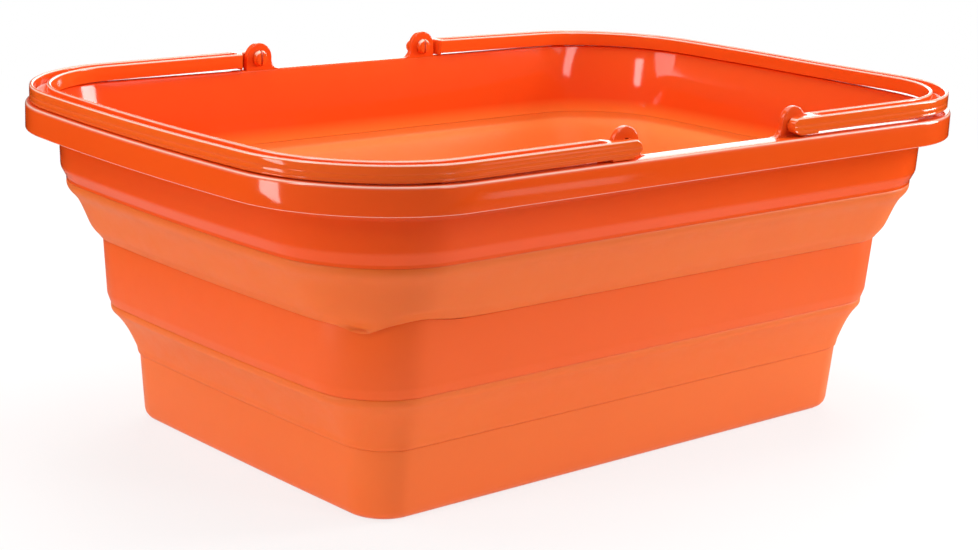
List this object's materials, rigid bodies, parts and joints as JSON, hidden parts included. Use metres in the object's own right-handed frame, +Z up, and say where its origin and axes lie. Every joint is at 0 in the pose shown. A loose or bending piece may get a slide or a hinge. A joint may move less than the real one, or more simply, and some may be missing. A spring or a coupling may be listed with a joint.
{
  "type": "collapsible washbasin",
  "caption": "Collapsible oblong camp washbasin with rigid bands, soft inverting folds and bail handles that fold down onto the rim.",
  "frame": {"origin": "middle of the underside, on the surface that the open basin stands on", "axes": "+Z up, +X along the long side towards the right handle, +Y along the short side"},
  "size_m": [0.4, 0.26, 0.1581],
  "materials": {
    "rim_polypropylene": "gloss injection-moulded polypropylene",
    "handle_polypropylene": "gloss injection-moulded polypropylene",
    "ring_polypropylene": "satin polypropylene under the soft skin",
    "base_polypropylene": "satin polypropylene",
    "fold_rubber": "satin thermoplastic rubber"
  },
  "bodies": {
    "base": {"base_pan": "base_polypropylene", "lower_fold": "fold_rubber"},
    "ring": {"middle_ring": "ring_polypropylene", "upper_fold": "fold_rubber"},
    "rim": {"rim_frame": "rim_polypropylene"},
    "left_bail": {"left_handle": "handle_polypropylene"},
    "right_bail": {"right_handle": "handle_polypropylene"}
  },
  "joints": [
    {"name": "ring_collapse", "type": "slide", "parent": "base", "child": "ring", "axis": [0, 0, -1], "range_m": [0, 0.04], "deforming": ["lower_fold"]},
    {"name": "rim_collapse", "type": "slide", "parent": "ring", "child": "rim", "axis": [0, 0, -1], "range_m": [0, 0.045], "deforming": ["upper_fold"]},
    {"name": "left_bail_hinge", "type": "hinge", "parent": "rim", "child": "left_bail", "pos_m": [-0.0505, 0, 0.1508], "axis": [0, 1, 0], "range_deg": [0, 108]},
    {"name": "right_bail_hinge", "type": "hinge", "parent": "rim", "child": "right_bail", "pos_m": [0.0505, 0, 0.1508], "axis": [0, -1, 0], "range_deg": [0, 108]}
  ]
}
